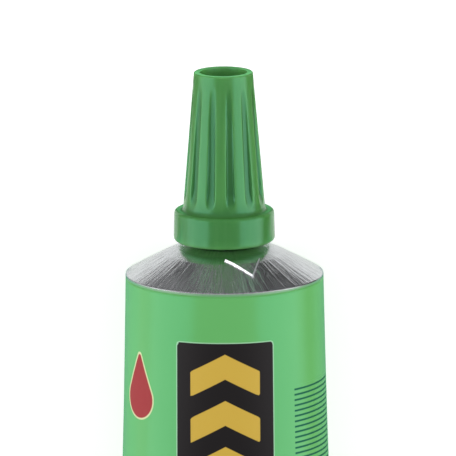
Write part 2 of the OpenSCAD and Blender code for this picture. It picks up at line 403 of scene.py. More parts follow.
def build_barrel():
    """The rings of the outside, lifted by the waves along their normal, and then those of the inside,
    drawn in by a wall that thins out towards the fold."""
    share = np.linspace(0, 1, BARREL_ROWS)
    outside, u, turn = barrel_rings(share, 0)
    # the underside lies on the table, so only the front and the sides swell and sink
    lift = soft_waves(share[:, None], u) * (0.5 + 0.5 * np.cos(turn))
    outside[..., 0] += np.sign(u) * lift * np.sin(turn)
    outside[..., 2] += lift * np.cos(turn)
    inner_share = np.linspace(1, 0, INSIDE_ROWS)
    inside, inner_u, _ = barrel_rings(inner_share, WALL * (1 - inner_share[:, None]) + INNER_GAP)
    # the inside lies off the print in the unrolled map
    v = np.vstack([np.broadcast_to(share[:, None] * BARREL_L, u.shape), np.full(inner_u.shape, UNPRINTED_V)])
    u = np.vstack([u, inner_u])
    return skin("barrel_skin", np.vstack([outside, inside]), u, v, fields=print_distances(u, v))


barrel = build_barrel()

# %% [markdown]
# ## The folded end
# The pressed end is folded over twice, so that the cut edge lies inside, and a toothed jaw presses ribs
# across it. It is one strip of sheet carried along a folded path and drawn across the width. The path has
# three layers: the tube's own end below, the folded back layer on top, and the tucked edge between them.

# %% Fold along its path
LAYER_GAP = 0.05
LAYER_STEP = SHEET_T + LAYER_GAP
FOLD_COLUMNS = 232
FOLD_OVERLAP = 0.6
TUCK_GAP = 0.1
SIDE_GAP = 0.02
RIB_PITCH = 1.3
RIB_HEIGHT = 0.035
BEND_POINTS = 13
SHARP_ANGLE = math.radians(50)


def bend(y, z, radius, start, stop):
    """Points on a half turn of the path about a centre, from one angle to another."""
    angle = np.linspace(math.radians(start), math.radians(stop), BEND_POINTS)
    return np.stack([y + radius * np.cos(angle), z + radius * np.sin(angle)], axis=-1)


def fold_rings():
    """Offsets the path by half the sheet to both sides, which gives a closed outline, and repeats it
    across the width with ribs as a wave in height."""
    low, middle, top = SHEET_T / 2 + RIB_HEIGHT + LAYER_STEP * np.arange(3)
    end = FOLD_Y - FOLD_L + LAYER_STEP + SHEET_T / 2
    lip = FOLD_Y - LAYER_STEP / 2 - SHEET_T / 2
    path = np.vstack([
        [[FOLD_Y + FOLD_OVERLAP, low]],
        bend(end, middle, LAYER_STEP, 270, 90),
        bend(lip, (top + middle) / 2, LAYER_STEP / 2, 90, -90),
        [[end + TUCK_GAP, middle]],
    ])
    ahead = np.gradient(path, axis=0)
    ahead /= np.linalg.norm(ahead, axis=1, keepdims=True)
    aside = np.stack([-ahead[:, 1], ahead[:, 0]], axis=-1) * SHEET_T / 2
    outline = np.vstack([path + aside, (path - aside)[::-1]])
    half_w = barrel_high[0] - SIDE_GAP
    x = np.linspace(-half_w, half_w, FOLD_COLUMNS)
    ribs = RIB_HEIGHT * np.cos(2 * math.pi * x / RIB_PITCH)
    pressed = smooth_step((FOLD_Y + FOLD_OVERLAP / 2 - outline[:, :1]) / FOLD_OVERLAP)
    return np.stack(np.broadcast_arrays(x, outline[:, :1], outline[:, 1:] + ribs * pressed), axis=-1)


def strip(name, rings):
    """A closed mesh from outlines drawn across the width. Both ends are closed by joining the two sides
    of the outline, because it is one sheet's thickness wide all along."""
    points, columns = rings.shape[:2]
    index = np.arange(points * columns).reshape(points, columns)
    after = np.roll(index, -1, axis=0)
    sides = np.stack([index[:, :-1], index[:, 1:], after[:, 1:], after[:, :-1]], axis=-1).reshape(-1, 4)
    half = np.arange(points // 2 - 1)
    back = points - 1 - half
    first = np.stack([index[half, 0], index[half + 1, 0], index[back - 1, 0], index[back, 0]], axis=-1)
    last = np.stack([index[half, -1], index[back, -1], index[back - 1, -1], index[half + 1, -1]], axis=-1)
    mesh = bpy.data.meshes.new(name)
    mesh.from_pydata((rings.reshape(-1, 3) * MM).tolist(), [], np.vstack([sides, first, last]).tolist())
    mesh.validate()
    mesh.shade_smooth()
    mesh.set_sharp_from_angle(angle=SHARP_ANGLE)
    print(f"{name}: {len(mesh.polygons)} faces")
    return in_scene(name, mesh)


fold = strip("fold_seam", fold_rings())

# %% [markdown]
# ## The shoulder and the neck
# The shoulder is bare aluminium, pressed out in one blow, with drawing marks that run from the neck to the
# edge. It is one profile turned round the axis. The thread adds to the radius where a point is near the
# helix. The marks are low ridges along the slope, and a small raised crease lies on the right of the front.

# %% Thread and shoulder relief
THREAD_PLAY = 0.15
FLANK = math.radians(25)
RIDGE_FOOT = THREAD_PITCH / 2 - THREAD_PLAY + THREAD_DEPTH * math.tan(FLANK)
RIDGE_CREST = THREAD_PITCH / 2 - THREAD_PLAY - THREAD_DEPTH * math.tan(FLANK)
THREAD_START = 0.1
NECK_THREAD_H = NECK_H + RIDGE_FOOT / 2 + THREAD_START
NECK_TURNS = (NECK_TOP_H - RIDGE_FOOT / 2 - NECK_THREAD_H) / THREAD_PITCH
RUN_IN = 0.12


def ridge(height, angle, start_h, turns):
    """Height of a right-hand thread: a point's distance from the helix along the axis, taken from half the
    foot and divided by the flank's width, from 0 to 1, times the depth. It fades in and out at the ends."""
    turned = (angle - math.pi / 2) % (2 * math.pi) / (2 * math.pi)
    number = (height - start_h) / THREAD_PITCH - turned
    nearest = np.round(number)
    off_helix = np.abs(number - nearest) * THREAD_PITCH
    side = np.clip((RIDGE_FOOT / 2 - off_helix) / ((RIDGE_FOOT - RIDGE_CREST) / 2), 0, 1)
    turn = turned + nearest
    return THREAD_DEPTH * side * np.clip(turn / RUN_IN, 0, 1) * np.clip((turns - turn) / RUN_IN, 0, 1)


# the crease's three corners, across and up from the axis as seen from the cap's end
CREASE = np.array([(-0.03, 7.09), (3.62, 9.37), (4.46, 5.5)])
CREASE_HEIGHTS = (0.1, 0.08)
CREASE_SINK = 0.025
CREASE_SLOPES = (1.5, 2.0, 4.0)
MARK_SEED = 11
MARK_HEIGHT = 0.015
MARK_WAVES = 40


def inside_edge(x, z, start, end):
    """Distance of points to the right of the line from start to end."""
    run = end - start
    return ((x - start[0]) * run[1] - (z - start[1]) * run[0]) / np.linalg.norm(run)


def crease(radius, angle):
    """A raised triangle: it climbs from its three edges, each with its own slope, up to a top that sinks
    from the first corner to the second, and away from the edge between them."""
    x, z = radius * np.sin(angle), radius * np.cos(angle)
    edge = CREASE[1] - CREASE[0]
    share = np.clip(((x - CREASE[0][0]) * edge[0] + (z - CREASE[0][1]) * edge[1]) / (edge @ edge), 0, 1)
    lift = between(CREASE_HEIGHTS, share) - CREASE_SINK * inside_edge(x, z, CREASE[0], CREASE[1])
    for i in range(3):
        lift = np.minimum(lift, CREASE_SLOPES[i] * inside_edge(x, z, CREASE[i], CREASE[(i + 1) % 3]))
    return np.maximum(lift, 0)


def drawing_marks(angle):
    """Low ridges along the slope: waves of many whole numbers round the axis with random phases, so that
    they run straight from the neck to the edge."""
    draw = np.random.default_rng(MARK_SEED)
    numbers = draw.integers(34, 130, MARK_WAVES)
    phases = draw.uniform(0, 2 * math.pi, MARK_WAVES)
    waves = np.cos(np.outer(angle, numbers) + phases) / np.sqrt(numbers)
    return MARK_HEIGHT * waves.sum(axis=1)


# %% Shoulder surface
HEAD_COLUMNS = 440
SHOULDER_T = 0.5
FACE_EDGE_ROUND = 0.25
FACE_SLOPE = math.radians(28.6)
RING_SLOPE = math.radians(23.5)
RING_R, RING_IN_R = 7.6, 4.8
MARK_FADES = (0.12, 0.1)
RIM_LAP = 0.001
NECK_RUN = 4  # number of the neck's straight run in the profile
slope_t = SHOULDER_T / math.cos(FACE_SLOPE)
ring_h = (TUBE_R - RING_R) * math.tan(FACE_SLOPE)
ring_in_h = ring_h + (RING_R - RING_IN_R) * math.tan(RING_SLOPE)
# corners of the face from the edge to the ring, and of the inside below the wall
face_corners = [(TUBE_R, 0), (RING_R, ring_h), (RING_IN_R, ring_in_h)]
under_corners = [(TUBE_R - WALL, -slope_t), (RING_R, ring_h - slope_t), (NECK_BORE_R, ring_in_h - slope_t)]


def build_shoulder():
    """A profile over the face and the neck and back along the inside, turned round the axis. The thread
    adds to the neck's radius, and the crease and the marks lift the face along its normal."""
    profile, runs = rounded_profile([
        (TUBE_R, RIM_H - RIM_LAP, 0, 0.2),
        (*face_corners[0], FACE_EDGE_ROUND, 0.13),
        (*face_corners[1], 1.5, 0.15),
        (*face_corners[2], 0.4, 0.2),
        (NECK_ROOT_R, NECK_H, 0.35, 0.08),
        (NECK_ROOT_R, NECK_TOP_H, 0.12, 0.3),
        (NECK_BORE_R, NECK_TOP_H, 0.1, 0.5),
        (*under_corners[2], 0.3, 0.8),
        (*under_corners[1], 1.5, 0.8),
        (*under_corners[0], 0, 1),
    ])
    angle = angles(HEAD_COLUMNS)
    radius, height = profile[:, :1], profile[:, 1:]
    on_neck = (runs == NECK_RUN)[:, None]
    # the relief covers the rows before the neck, and the marks fade out at the edge and at the ring
    on_face = np.arange(len(runs))[:, None] < np.argmax(on_neck)
    cone_share = np.clip((TUBE_R - radius) / (TUBE_R - RING_R), 0, 1)
    fade = smooth_step(cone_share / MARK_FADES[0]) * smooth_step((1 - cone_share) / MARK_FADES[1])
    lift = on_face * (crease(radius, angle) + fade * drawing_marks(angle[0]))
    grown = radius + on_neck * ridge(height, angle, NECK_THREAD_H, NECK_TURNS)
    rings = round_axis(grown + lift * math.sin(FACE_SLOPE), height + lift * math.cos(FACE_SLOPE), angle)
    return skin("shoulder", rings, angle * TUBE_R, along(profile))


shoulder = build_shoulder()

# %% Edges of the crease
BAR_BACK_SLOPE = 3.0
BAR_STATIONS = 48
BAR_TAPER = 0.004
# share of the climb, share of the fall and lift over the face, at the points across a bar
BAR_POINTS = [
    (0, 0, -0.06), (0, 0, 0), (0.06, 0, 0), (0.5, 0, 0), (0.94, 0, 0),
    (1, 0, 0), (1, 0.06, 0), (1, 0.94, 0), (1, 1, -0.06),
]


def build_bar(name, start, end, heights, slope):
    """A bright edge of the crease: a ruled facet that climbs from the edge to a ridge, and a steep back.
    The points lie across the edge at a distance and a lift that both change along it."""
    share = np.concatenate([[0], np.linspace(BAR_TAPER, 1 - BAR_TAPER, BAR_STATIONS), [1]])[:, None]
    height = between(heights, share)
    climb, fall, sunk = np.array(BAR_POINTS).T
    off = height * (climb / slope + fall / BAR_BACK_SLOPE)
    lift = height * (climb - fall) + sunk
    edge = end - start
    aside = np.array([edge[1], -edge[0]]) / np.linalg.norm(edge)
    across = start[0] + edge[0] * share + aside[0] * off
    upwards = start[1] + edge[1] * share + aside[1] * off
    radius, angle = np.hypot(across, upwards), np.arctan2(across, upwards)
    floor_h = np.interp(radius, *np.array(face_corners[::-1]).T)
    rings = round_axis(radius + lift * math.sin(FACE_SLOPE), floor_h + lift * math.cos(FACE_SLOPE), angle)
    return skin(name, rings, angle * TUBE_R, TUBE_R - radius + 1, poles=True)


crease_front = build_bar("crease_front", CREASE[0], CREASE[1], (0.34, 0.25), 1.5)
crease_side = build_bar("crease_side", CREASE[1], CREASE[2], (0.24, 0.14), 1.2)

# %% [markdown]
# ## The screw cap
# The cap is one moulding: a collar, a slender grip with twelve flutes, a hollow top with a piercing pin,
# and a threaded bore. It could be cut from solids with booleans, which leaves ragged shading. Here a single
# profile goes from the pin's tip over the rim, down the outside and up the bore to the ceiling. The flutes
# take away from the radius of the grip, and the thread takes away from the radius of the bore.

# %% Flutes
FLUTES = 12
FLUTE_DEPTH = 0.5
FLUTE_HALF = (0.48, 0.68)
FLUTE_WALL = 0.27
FLUTE_HOLLOW_R = 2.4
FLUTE_TURN = math.radians(9.7)
FLUTE_LOW_H = 8.8
FLUTE_HIGH_H = 24.6
FLUTE_RISE = 2.6
FLUTE_END = 1.0
FLUTE_POWER = 0.85


def flute_cut(radius, height, angle):
    """Depth of the flutes: a slightly hollow floor between two steep walls. The depth and the width grow
    from the top to the foot, where the floor rises to the surface and the flute closes in a blunt end."""
    pitch = 2 * math.pi / FLUTES
    offset = (angle - FLUTE_TURN + pitch / 2) % pitch - pitch / 2
    way = np.clip((FLUTE_HIGH_H - height) / (FLUTE_HIGH_H - FLUTE_LOW_H), 0, 1)
    rise = smooth_step((height - FLUTE_LOW_H) / FLUTE_RISE)
    blunt = np.sqrt(smooth_step((height - FLUTE_LOW_H) / FLUTE_END))
    half = between(FLUTE_HALF, way) * blunt
    across = np.abs(offset) * radius
    floor_depth = FLUTE_DEPTH * way**FLUTE_POWER * rise - across**2 / (2 * FLUTE_HOLLOW_R)
    return np.maximum(floor_depth, 0) * smooth_step((half - across) / FLUTE_WALL)


# %% Cap surface
CAP_COLUMNS = 360
CAP_H = cap_low[1] - SHOULDER_Y
CAP_TOP_H = cap_high[1] - SHOULDER_Y
COLLAR_R = (cap_high[0] - cap_low[0]) / 2
COLLAR_TOP_R = COLLAR_R - 0.1
COLLAR_TOP_H = CAP_H + 4
GRIP_R = 5.175
TOP_R = 3.7
RECESS_R = 2.95
RECESS_FLOOR_R = 2.4
PIN_R = 0.9
PIN_TIP_R = 0.1
PIN_TIP_H = CAP_TOP_H - 1.5
PARTITION_T = 1.2
DISC_TOP_H = disc_high[1] - SHOULDER_Y
DISC_GAP = 0.03
CAVITY_H = DISC_TOP_H + DISC_GAP
RECESS_H = CAVITY_H + PARTITION_T
CAP_BORE_R = NECK_R + THREAD_GAP
MOUTH_H = CAP_H + (COLLAR_R - CAP_BORE_R) * math.tan(SHOULDER_SLOPE)
LEDGE_H = 11.26
CAVITY_R = 2.03
CAVITY_LOW_R = 2.4
CAP_THREAD_H = NECK_THREAD_H + THREAD_PITCH / 2
CAP_TURNS = NECK_TURNS - 0.5
UNDER_R = 4.75
FLUTE_SHADE = 0.16
# heights over which the painted light on the grip and on the collar's foot fades in, and its share of the
# pale green
GRIP_LIGHT_FADE = 2.5
PAINTED_LIGHT_SHARE = 0.25
FOOT_BOUNCE_FADE = 1.1
GRIP_RUN, UNDER_RUN, BORE_RUN = 5, 8, 10  # numbers of straight runs in the profile


def build_cap():
    """The profile turned round the axis, less the flutes on the grip and the thread in the bore."""
    profile, runs = rounded_profile([
        (0, PIN_TIP_H, 0, 0.2),
        (PIN_TIP_R, PIN_TIP_H, 0.06, 0.8),
        (PIN_R, RECESS_H, 0.3, 0.4),
        (RECESS_FLOOR_R, RECESS_H, 0.3, 0.7),
        (RECESS_R, CAP_TOP_H, 0.12, 0.2),
        (TOP_R, CAP_TOP_H, 0.2, 0.26),
        (GRIP_R, COLLAR_TOP_H, 0.62, 0.2),
        (COLLAR_TOP_R, COLLAR_TOP_H, 0.5, 0.8),
        (COLLAR_R, CAP_H, 0.55, 0.3),
        (UNDER_R, CAP_H, 0.12, 0.6),
        (CAP_BORE_R, MOUTH_H, 0.12, 0.11),
        (CAP_BORE_R, LEDGE_H, 0.1, 0.5),
        (CAVITY_LOW_R, LEDGE_H, 0.1, 1.2),
        (CAVITY_R, CAVITY_H, 0.1, 0.7),
        (0, CAVITY_H, 0, 1),
    ])
    angle = angles(CAP_COLUMNS)
    radius, height = profile[:, :1], profile[:, 1:]
    flute = (runs == GRIP_RUN)[:, None] * flute_cut(radius, height, angle)
    thread = (runs == BORE_RUN)[:, None] * ridge(height, angle, CAP_THREAD_H, CAP_TURNS)
    rings = round_axis(radius - flute - thread, height, angle)
    # the painted shading is 0 on the collar; painted light makes it paler on the grip and inside, painted
    # bounce light from the shoulder makes it paler on its foot and 1 below, and painted shade makes it -1 in
    # the flutes
    groove_shade = smooth_step(flute / FLUTE_SHADE)
    grip = smooth_step((height - COLLAR_TOP_H) / GRIP_LIGHT_FADE)
    inside = np.arange(len(runs))[:, None] > np.argmax(runs == UNDER_RUN)
    foot = smooth_step((CAP_H + FOOT_BOUNCE_FADE - height) / FOOT_BOUNCE_FADE)
    painted_light = PAINTED_LIGHT_SHARE * np.maximum(np.maximum(grip, inside), foot)
    painted_light = np.maximum(painted_light, (runs == UNDER_RUN)[:, None])
    painted_shading = painted_light * (1 - groove_shade) - groove_shade
    return skin("screw_cap", rings, angle * GRIP_R, along(profile), poles=True, fields={"painted_shading": painted_shading})


cap = build_cap()

# %% [markdown]
# ## The spout, the sealing disc and the gel
# With the cap off, the moulded spout shows on the neck, and the sealing disc shows deep in the cap. Both
# are short profiles turned round the axis. The gel fills the barrel, so it takes the barrel's own rings,
# drawn in a little, up to the spout's plug. So does the latex band that seals the pressed end.

# %% Spout and disc
TURNED_COLUMNS = 128
SPOUT_WALL = 0.5
FLANGE_T = 0.8
FLANGE_R = NECK_ROOT_R - THREAD_GAP
FLANGE_TOP_H = NECK_TOP_H + FLANGE_T
SPOUT_R = FLANGE_R - 1.08
SPOUT_TIP_R = 1.3
SPOUT_TIP_H = spout_high[1] - SHOULDER_Y
PLUG_H = spout_low[1] - SHOULDER_Y
PLUG_R = NECK_BORE_R - 0.03
DISC_R = (disc_high[0] - disc_low[0]) / 2
DISC_H = disc_low[1] - SHOULDER_Y
DENT_DEPTH = 0.08  # the spout's tip leaves a dent in the disc
DENT_EDGE = 0.1


def turned(name, corners):
    """A closed piece from a profile that starts and ends on the axis."""
    profile, _ = rounded_profile(corners)
    angle = angles(TURNED_COLUMNS)
    rings = round_axis(profile[:, :1], profile[:, 1:], angle)
    return skin(name, rings, angle * profile[:, 0].max(), along(profile), poles=True)


spout = turned("spout", [
    (0, SPOUT_TIP_H, 0, 0.3),
    (SPOUT_TIP_R, SPOUT_TIP_H, 0.2, 0.5),
    (SPOUT_R, FLANGE_TOP_H, 0.3, 0.3),
    (FLANGE_R, FLANGE_TOP_H, 0.12, 0.3),
    (FLANGE_R, NECK_TOP_H, 0.08, 0.3),
    (PLUG_R, NECK_TOP_H, 0.08, 0.6),
    (PLUG_R, PLUG_H, 0.2, 0.3),
    (SPOUT_R - SPOUT_WALL, PLUG_H, 0.1, 0.8),
    (SPOUT_R - SPOUT_WALL, FLANGE_TOP_H, 0.2, 0.8),
    (SPOUT_TIP_R - SPOUT_WALL, SPOUT_TIP_H - SPOUT_WALL, 0.15, 0.3),
    (0, SPOUT_TIP_H - SPOUT_WALL, 0, 1),
])
disc = turned("sealing_disc", [
    (0, DISC_TOP_H, 0, 0.2),
    (DISC_R, DISC_TOP_H, 0.1, 0.2),
    (DISC_R, DISC_H, 0.1, 0.2),
    (SPOUT_TIP_R + DENT_EDGE, DISC_H, 0.05, 0.1),
    (SPOUT_TIP_R - DENT_EDGE, DISC_H + DENT_DEPTH, 0.05, 0.2),
    (0, DISC_H + DENT_DEPTH, 0, 1),
])

# %% Gel and sealing band
GEL_GAP = 0.1
GEL_SHARES = (0.98, 0.002)
GEL_ROWS, GEL_CONE_ROWS = 60, 12
BAND_SHARES = (0.994, 0.984)
BAND_ROWS = 6


def middle(ring):
    """A ring drawn together in its middle, which closes an end."""
    return np.broadcast_to(ring.mean(axis=1, keepdims=True), ring.shape)


def build_gel():
    """The barrel's rings from the fold to the shoulder, then rings under the shoulder's wall, and a flat
    top below the plug."""
    rings, u, _ = barrel_rings(np.linspace(*GEL_SHARES, GEL_ROWS), WALL + GEL_GAP)
    angle = angles(BARREL_COLUMNS)
    neck_r = NECK_BORE_R - GEL_GAP
    cone_r = np.linspace(under_corners[0][0] - GEL_GAP, neck_r, GEL_CONE_ROWS)[:, None]
    cone = round_axis(cone_r, np.interp(cone_r, *np.array(under_corners[::-1]).T) - GEL_GAP, angle)
    top = round_axis(np.array([[neck_r], [0.0]]), np.full((2, 1), PLUG_H - GEL_GAP), angle)
    rings = np.vstack([middle(rings[:1]), rings, cone, top])
    return skin("gel_fill", rings, u[:1], rings[:, :1, 1], poles=True)


def build_band():
    """The barrel's rings on a short way before the fold, half a wall further in and closed at both ends."""
    rings, u, _ = barrel_rings(np.linspace(*BAND_SHARES, BAND_ROWS), WALL / 2)
    rings = np.vstack([middle(rings[:1]), rings, middle(rings[-1:])])
    return skin("sealing_band", rings, u[:1], rings[:, :1, 1], poles=True)


gel = build_gel()
band = build_band()

# %% [markdown]
# ## Enamel with print
# Roller-coated enamel on aluminium is a smooth, glossy paint film. The eye sees an even colour under a
# clear sheen, with a faint orange peel in the reflections. The print is cut out of the distances kept in
# the mesh, and lies as further coats of paint on the green.

# %% Enamelled aluminium, roller coated
ENAMEL_GREEN, ENAMEL_DEEP = "6BB667", "65B061"
CHARCOAL = "302D2E"
PRINT_YELLOW = "CFA93F"
PRINT_RED = "A3262B"
RULE_GREEN = "1E5A3C"
DROP_LINE, DROP_LINE_W = "D8D9A6", 0.22
FIELD_LINE, FIELD_LINE_W = "A9D6AE", 0.12
PRINT_SOFTNESS = 0.045
RULE_PITCH = 0.35
ENAMEL_ROUGH, INK_ROUGH = 0.25, 0.6
CLOUD_W = 9.0
PEEL_W = 0.8


def enamel_finish():
    material, tree, shader = new_finish(
        "enamelled aluminium, roller coated", IOR=1.42, Specular_Tint=(0.15, 1.0, 1.0, 1.0)
    )
    place = add(tree, "TexCoord", out="Object")
    down = add(tree, "SeparateXYZ", {0: add(tree, "UVMap", uv_map="unrolled")}, "Y")
    # slow clouds of tone
    clouds = add(tree, "TexNoise", {"Vector": place, "Scale": 1 / (CLOUD_W * MM), "Detail": 2})
    tones = {"Factor": clouds, 6: to_linear(ENAMEL_GREEN), 7: to_linear(ENAMEL_DEEP)}
    colour = add(tree, "Mix", tones, 2, data_type="RGBA")
    # fine rules run round the tube, half a pitch of paint and half of green
    wave = add(tree, "Math", {0: down, 1: RULE_PITCH}, operation="PINGPONG")
    rule = add(tree, "MapRange", {"Value": wave, 1: RULE_PITCH / 2, 2: RULE_PITCH / 2 + 2 * PRINT_SOFTNESS})
    coats = [
        ("rules_mm", 0.0, RULE_GREEN, rule),
        ("charcoal_mm", FIELD_LINE_W, FIELD_LINE, None),
        ("charcoal_mm", 0.0, CHARCOAL, None),
        ("yellow_mm", 0.0, PRINT_YELLOW, None),
        ("red_mm", DROP_LINE_W, DROP_LINE, None),
        ("red_mm", 0.0, PRINT_RED, None),
    ]
    ink, graphite = 0.0, 0.0
    for field, grow, paint, only in coats:
        distance = add(tree, "Attribute", out="Fac", attribute_name=field)
        cut = {"Value": distance, 1: grow - PRINT_SOFTNESS, 2: grow + PRINT_SOFTNESS, 3: 1.0, 4: 0.0}
        amount = add(tree, "MapRange", cut)
        if only:
            amount = add(tree, "Math", {0: amount, 1: only}, operation="MULTIPLY")
        colour = add(tree, "Mix", {"Factor": amount, 6: colour, 7: to_linear(paint)}, 2, data_type="RGBA")
        ink = add(tree, "Math", {0: ink, 1: amount}, operation="MAXIMUM")
        flaked = float(paint == CHARCOAL)
        graphite = add(tree, "Mix", {0: amount, 2: graphite, 3: flaked}, data_type="FLOAT")
    # the inks are duller than the enamel, and the charcoal one is flaked graphite
    rough = add(tree, "MapRange", {"Value": ink, 3: ENAMEL_ROUGH, 4: INK_ROUGH})
    # orange peel, as wide from crest to crest as its name says
    peel = add(tree, "TexNoise", {"Vector": place, "Scale": 1 / (PEEL_W * MM), "Detail": 1})
    relief = add(tree, "Bump", {"Height": peel, "Strength": 0.12, "Distance": 0.02 * MM})
    fill(tree, shader, {"Base Color": colour, "Metallic": graphite, "Roughness": rough, "Normal": relief})
    return material


dress(barrel, enamel_finish(), "tube", "enamelled_aluminium", "barrel")

# %% [markdown]
# The fold has no print, only the green film. The jaw presses it hard, so in small spots the film is rubbed
# through and the metal shows.

# %% Enamelled aluminium, crimped
BARE_METAL = "C9CBCC"
RUB_W = 0.9
RUB_SPOTS = (0.62, 0.7)
RUB_THROUGH = 0.8


def crimped_finish():
    material, tree, shader = new_finish(
        "enamelled aluminium, crimped", Roughness=0.26, IOR=1.5, Specular_Tint=(0.3, 1.0, 1.0, 1.0)
    )
    place = add(tree, "TexCoord", out="Object")
    rub = add(tree, "TexNoise", {"Vector": place, "Scale": 1 / (RUB_W * MM), "Detail": 4})
    worn = add(tree, "MapRange", {"Value": rub, 1: RUB_SPOTS[0], 2: RUB_SPOTS[1], 4: RUB_THROUGH})
    tones = {"Factor": worn, 6: to_linear(ENAMEL_GREEN), 7: to_linear(BARE_METAL)}
    colour = add(tree, "Mix", tones, 2, data_type="RGBA")
    relief = add(tree, "Bump", {"Height": rub, "Strength": 0.3, "Distance": 0.03 * MM})
    fill(tree, shader, {"Base Color": colour, "Metallic": worn, "Normal": relief})
    return material


dress(fold, crimped_finish(), "tube", "enamelled_aluminium")

# %% [markdown]
# ## Bare aluminium
# Impact-extruded aluminium is bright but not a clean mirror: the metal flows outwards under the punch and
# leaves fine streaks from the neck to the edge. Streaks are noise stretched along the slope, read from the
# unrolled map so that they spread out like spokes. They tilt the normal and dull the shine in places.

# %% Bare aluminium, impact extruded
STREAK_W, STREAK_L = 0.22, 3.5
BROAD_W, BROAD_L = 4 * STREAK_W, 5 / 3 * STREAK_L
STREAK_DARK, STREAK_LIGHT = "97989D", "F2F3F6"
STREAK_ROUGH = (0.1, 0.24)
FILM_END = (0.02, 0.05)
# colour and width of the pale band at the end of the film, a painted highlight of the round edge
FILM_EDGE_HIGHLIGHT = "70A178"
FILM_HIGHLIGHT_W = 0.25
FILM_SOFT = 0.02


def aluminium_finish():
    material, tree, shader = new_finish("bare aluminium, impact extruded")
    unrolled = add(tree, "UVMap", uv_map="unrolled")
    fine_place = add(tree, "Mapping", {"Vector": unrolled, "Scale": (1 / STREAK_W, 1 / STREAK_L, 1)})
    fine = add(tree, "TexNoise", {"Vector": fine_place, "Scale": 1, "Detail": 4})
    broad_place = add(tree, "Mapping", {"Vector": unrolled, "Scale": (1 / BROAD_W, 1 / BROAD_L, 1)})
    broad = add(tree, "TexNoise", {"Vector": broad_place, "Scale": 1, "Detail": 3})
    tones = {"Factor": fine, 6: to_linear(STREAK_DARK), 7: to_linear(STREAK_LIGHT)}
    metal = add(tree, "Mix", tones, 2, data_type="RGBA")
    dull = add(tree, "MapRange", {"Value": broad, **NOISE_SPAN, 3: STREAK_ROUGH[0], 4: STREAK_ROUGH[1]})
    relief = add(tree, "Bump", {"Height": fine, "Strength": 0.75, "Distance": 0.06 * MM})
    # the green film ends on the round edge in a slightly uneven line
    up = add(tree, "SeparateXYZ", {0: unrolled}, "Y")
    line = {"Value": fine, **NOISE_SPAN, 3: FILM_END[0], 4: FILM_END[1]}
    past = add(tree, "Math", {0: up, 1: add(tree, "MapRange", line)}, operation="SUBTRACT")
    # a pale band at the end of the film is a painted highlight along the round edge
    edge_highlight = add(tree, "MapRange", {"Value": past, 1: -FILM_SOFT, 2: FILM_SOFT})
    bare = add(tree, "MapRange", {"Value": past, 1: FILM_HIGHLIGHT_W - FILM_SOFT, 2: FILM_HIGHLIGHT_W + FILM_SOFT})
    film = {"Factor": edge_highlight, 6: to_linear(ENAMEL_GREEN), 7: to_linear(FILM_EDGE_HIGHLIGHT)}
    colour = add(tree, "Mix", film, 2, data_type="RGBA")
    colour = add(tree, "Mix", {"Factor": bare, 6: colour, 7: metal}, 2, data_type="RGBA")
    fill(tree, shader, {"Base Color": colour, "Metallic": bare, "Roughness": dull, "Normal": relief})
    return material


bare_aluminium = aluminium_finish()
dress(shoulder, bare_aluminium, "tube", "bare_aluminium", "head")
dress(crease_front, bare_aluminium, "tube", "bare_aluminium")
# the side edge of the crease is scuffed, so it shines less and more evenly
scuffed_aluminium, _, _ = new_finish(
    "bare aluminium, scuffed", Metallic=1.0, Roughness=0.6, Base_Color=to_linear("B4B8BA")
)
dress(crease_side, scuffed_aluminium, "tube", "bare_aluminium")

# %% [markdown]
# ## Moulded plastics
# The cap is polypropylene, injection moulded and dyed through: a soft gloss, slightly cloudy, with faint
# flow marks along the grip. The spout is undyed polyethylene, milky and a little see-through. The disc is
# foamed polyethylene with an open skin of small cells.

# %% Polypropylene, injection moulded
# the pale green is painted light on the grip, on the collar's foot and below the collar; the flute green is
# painted shade in the flutes
COLLAR_GREEN = "46813F"
PAINTED_LIGHT_GREEN = "6BAB60"
FLUTE_SHADE_GREEN = "3C7437"
FLOW_W, FLOW_L = 0.7, 9.0
TONE_DRIFT = 0.06
GRAIN_W = 0.3
GRAIN_ROUGH = (0.18, 0.25)


def polypropylene_finish():
    material, tree, shader = new_finish(
        "polypropylene, injection moulded", IOR=1.56, Specular_Tint=(0.33, 1.0, 0.78, 1.0),
        Subsurface_Weight=0.7, Subsurface_Radius=(0.9, 1.0, 0.9), Subsurface_Scale=0.003,
    )
    place = add(tree, "TexCoord", out="Object")
    # flow marks are narrow across the cap and long along it
    stretch = (1 / (FLOW_W * MM), 1 / (FLOW_L * MM), 1 / (FLOW_W * MM))
    flow_place = add(tree, "Mapping", {"Vector": place, "Scale": stretch})
    flow = add(tree, "TexNoise", {"Vector": flow_place, "Scale": 1, "Detail": 2})
    drift = {"Value": flow, **NOISE_SPAN, 3: -TONE_DRIFT, 4: TONE_DRIFT}
    # the cap's painted shading: towards the pale green is painted light, and towards the flute green is
    # painted shade
    painted_shading = add(tree, "Attribute", out="Fac", attribute_name="painted_shading")
    level = add(tree, "Math", {0: painted_shading, 1: add(tree, "MapRange", drift)}, operation="ADD")
    light = add(tree, "MapRange", {"Value": level})
    painted_flute_shade = add(tree, "MapRange", {"Value": level, 2: -1.0})
    tones = {"Factor": light, 6: to_linear(COLLAR_GREEN), 7: to_linear(PAINTED_LIGHT_GREEN)}
    colour = add(tree, "Mix", tones, 2, data_type="RGBA")
    colour = add(tree, "Mix", {"Factor": painted_flute_shade, 6: colour, 7: to_linear(FLUTE_SHADE_GREEN)}, 2, data_type="RGBA")
    grain = add(tree, "TexNoise", {"Vector": place, "Scale": 1 / (GRAIN_W * MM), "Detail": 2})
    rough = add(tree, "MapRange", {"Value": grain, **NOISE_SPAN, 3: GRAIN_ROUGH[0], 4: GRAIN_ROUGH[1]})
    relief = add(tree, "Bump", {"Height": grain, "Strength": 0.1, "Distance": 0.01 * MM})
    fill(tree, shader, {"Base Color": colour, "Roughness": rough, "Normal": relief})
    return material


